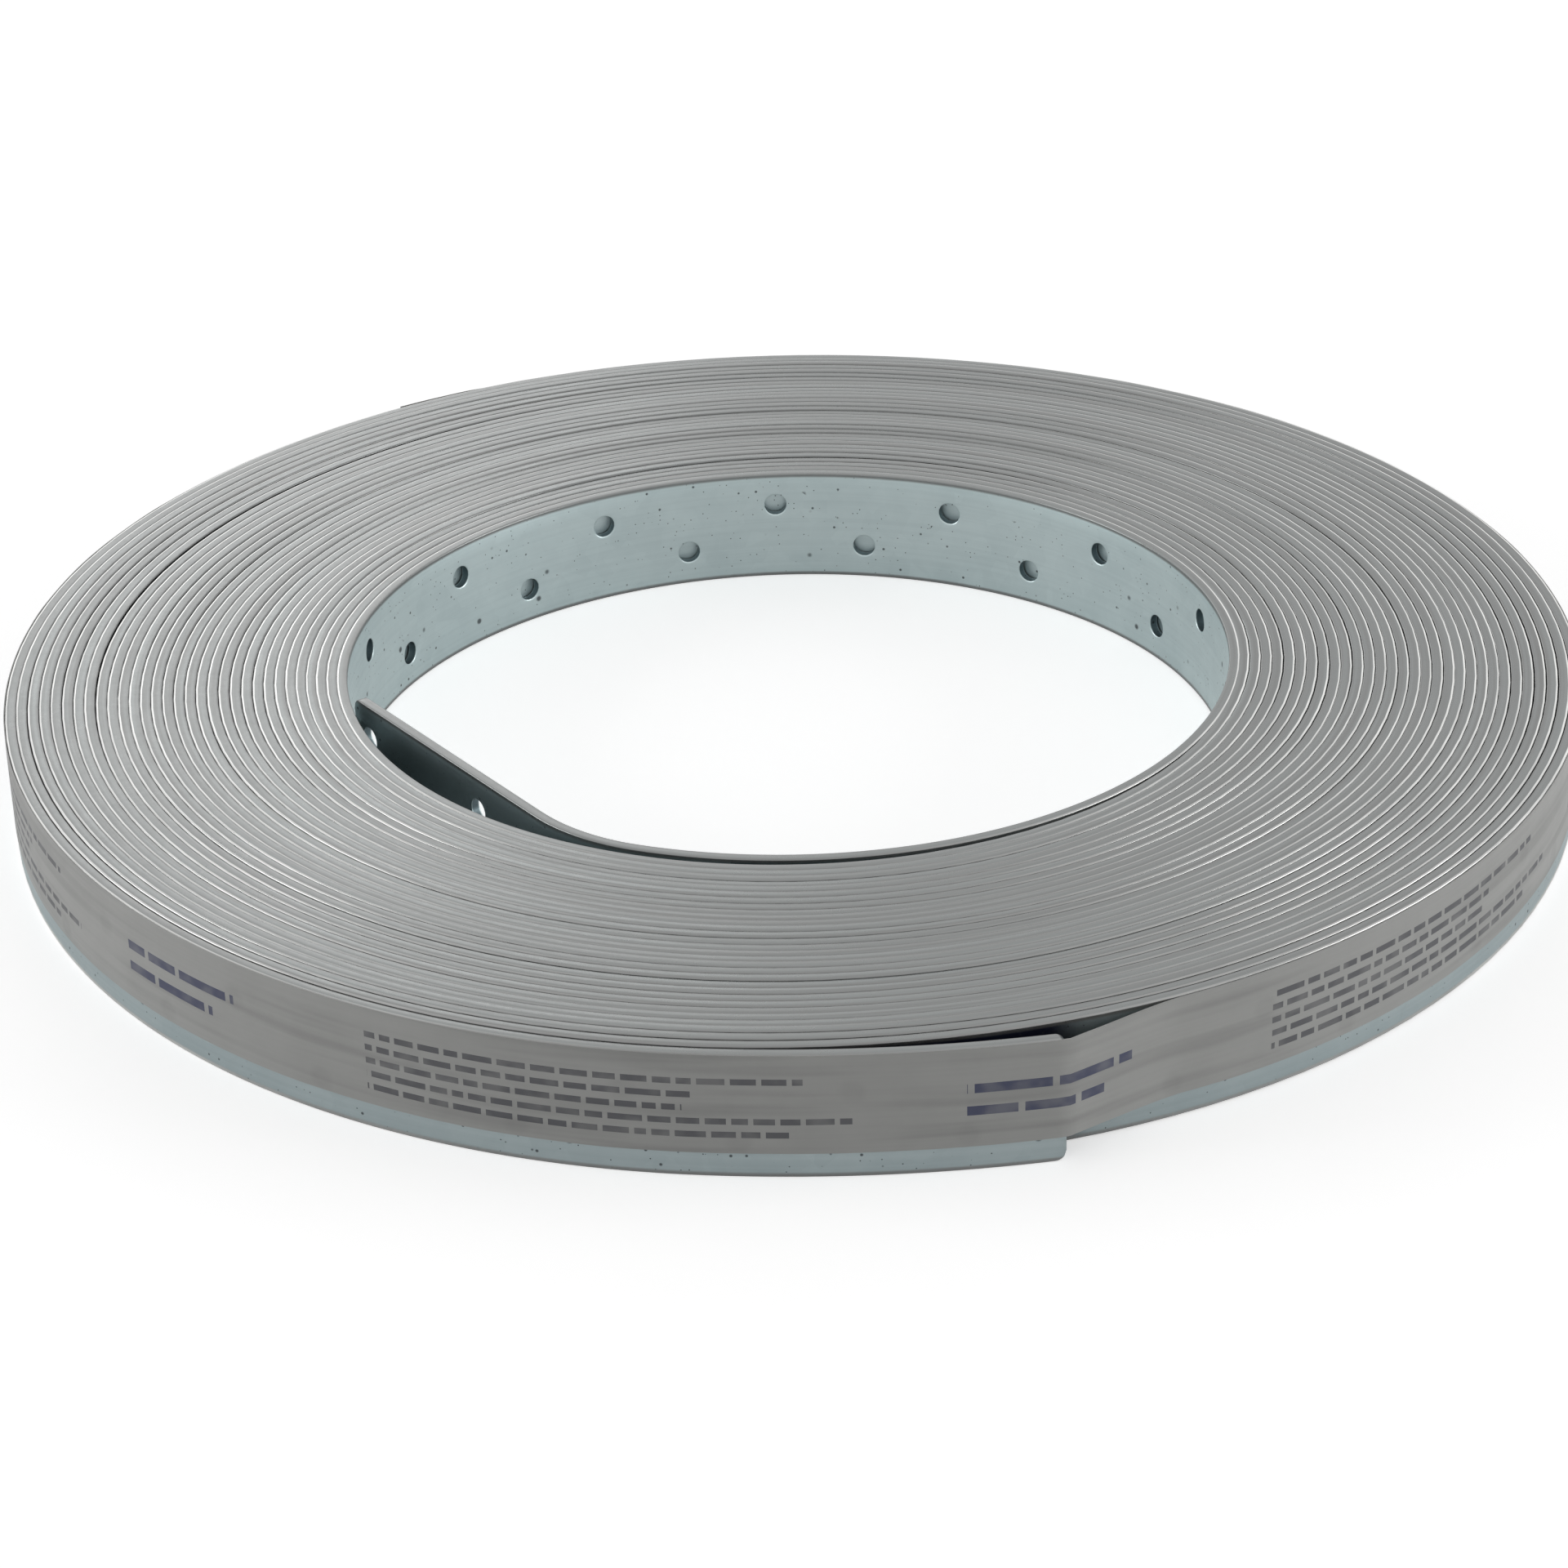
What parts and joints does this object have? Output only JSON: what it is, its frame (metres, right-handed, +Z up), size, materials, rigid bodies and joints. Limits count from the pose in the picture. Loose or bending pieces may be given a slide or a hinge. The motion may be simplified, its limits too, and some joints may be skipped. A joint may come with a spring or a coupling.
{
  "type": "coil of perforated mounting strap",
  "caption": "Flat coil of galvanised steel strap with two staggered rows of nail holes, a sprung inner tail and a label tape round its outside.",
  "frame": {"origin": "on the floor under the coil's axis", "axes": "+Z up along the coil's axis, -Y towards the front as pictured, +X to the right"},
  "size_m": [0.3219, 0.3237, 0.0257],
  "materials": {
    "galvanised_steel": "hot-dip galvanised, dull",
    "label_film": "matt printed film"
  },
  "bodies": {
    "root": {"strap": "galvanised_steel", "label_tape": "label_film"}
  },
  "joints": []
}
